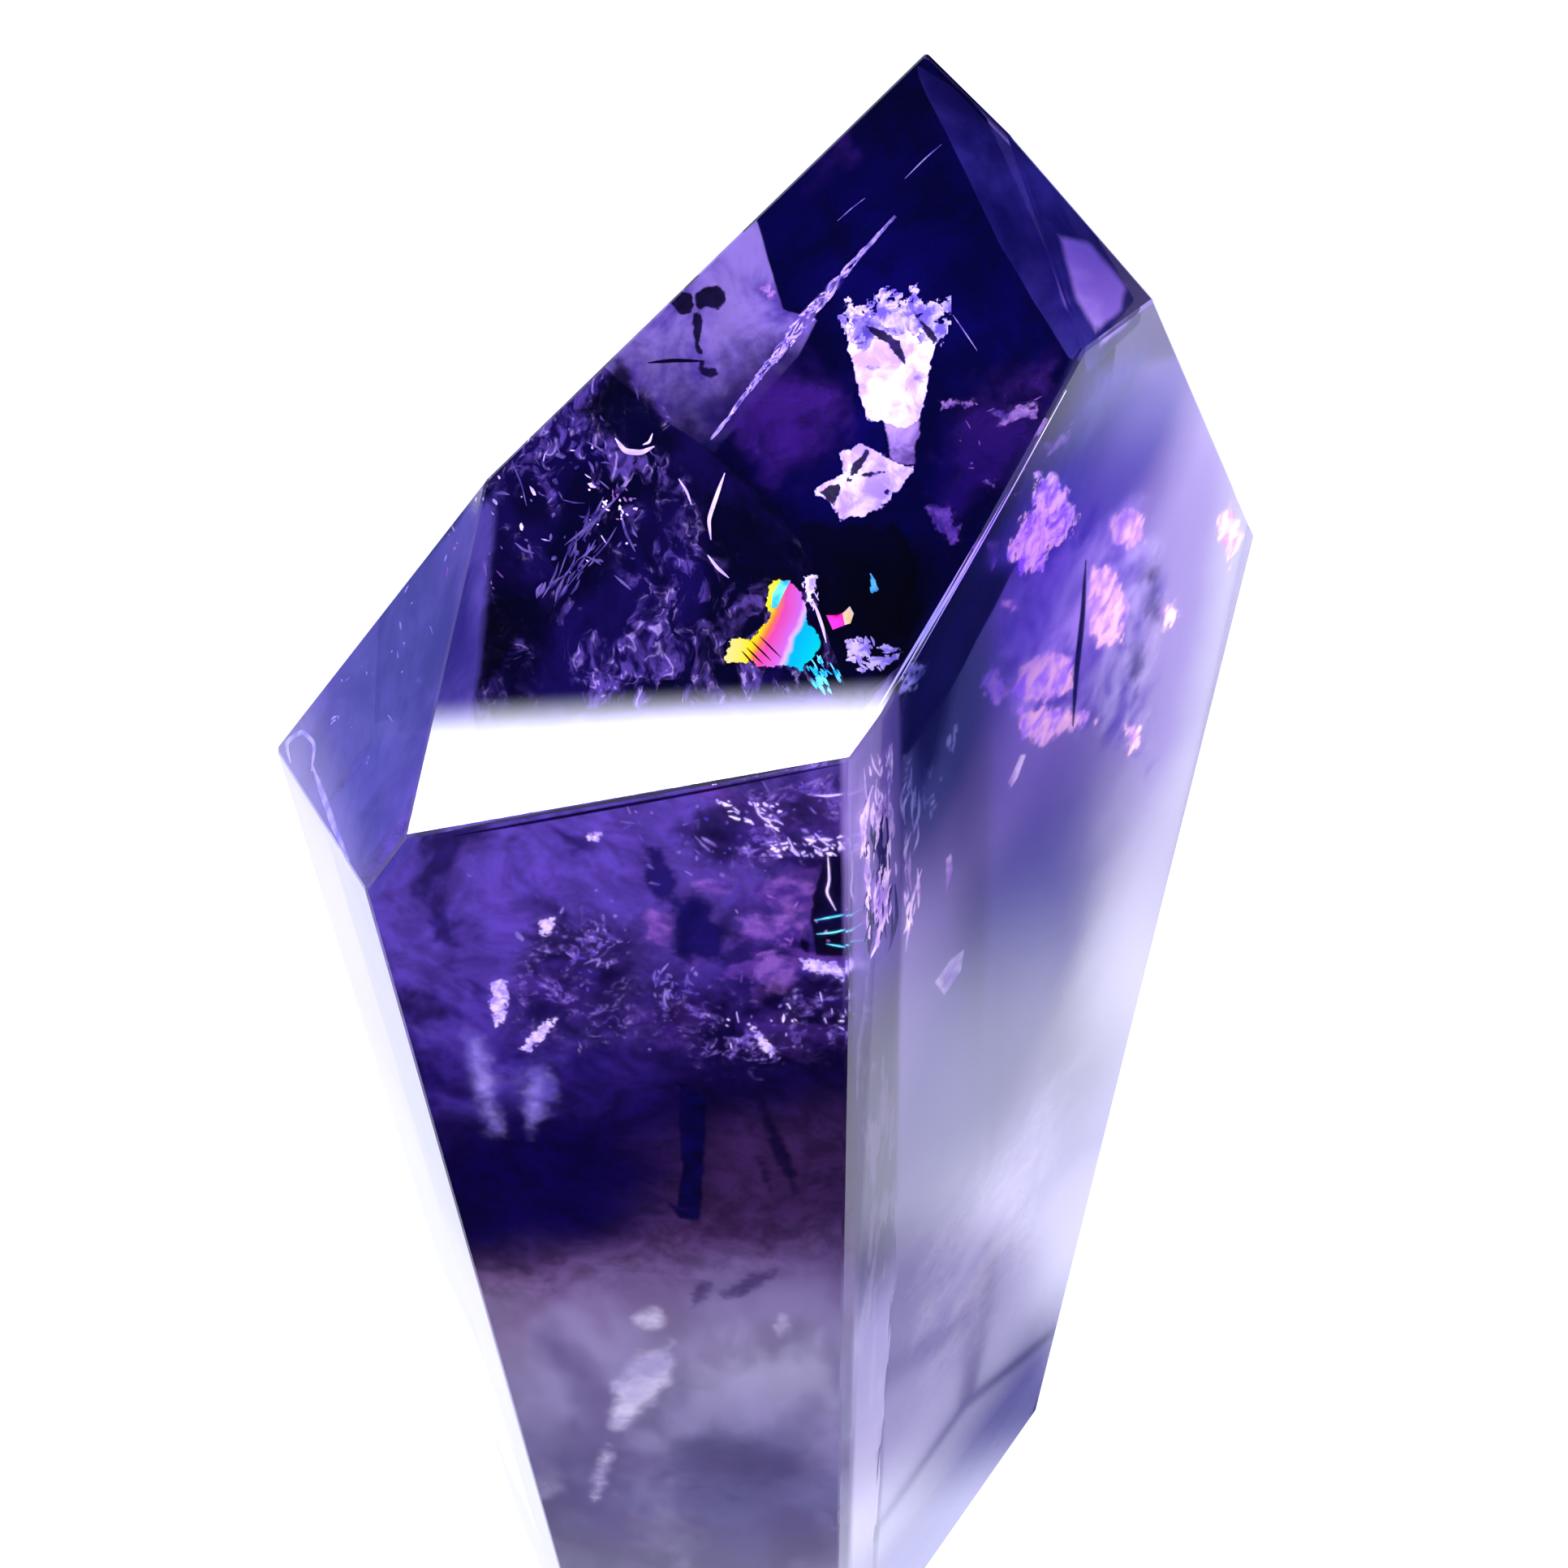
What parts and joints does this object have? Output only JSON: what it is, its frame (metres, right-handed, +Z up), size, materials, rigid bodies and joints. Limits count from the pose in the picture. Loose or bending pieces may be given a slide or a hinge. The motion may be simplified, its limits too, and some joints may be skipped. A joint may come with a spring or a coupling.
{
  "type": "amethyst point",
  "caption": "Polished amethyst crystal point with a six-sided prism, a faceted tip, inner fractures and a flat cut base.",
  "frame": {"origin": "middle of the box round the crystal, at the height of the cut base", "axes": "+Z up along the crystal's length to the tip; -Y is the broad front face's side"},
  "size_m": [0.058, 0.0524, 0.148],
  "materials": {
    "amethyst": "clear violet quartz, polished, dark at the tip and pale at the base"
  },
  "bodies": {
    "root": {"amethyst_point": "amethyst"}
  },
  "joints": []
}
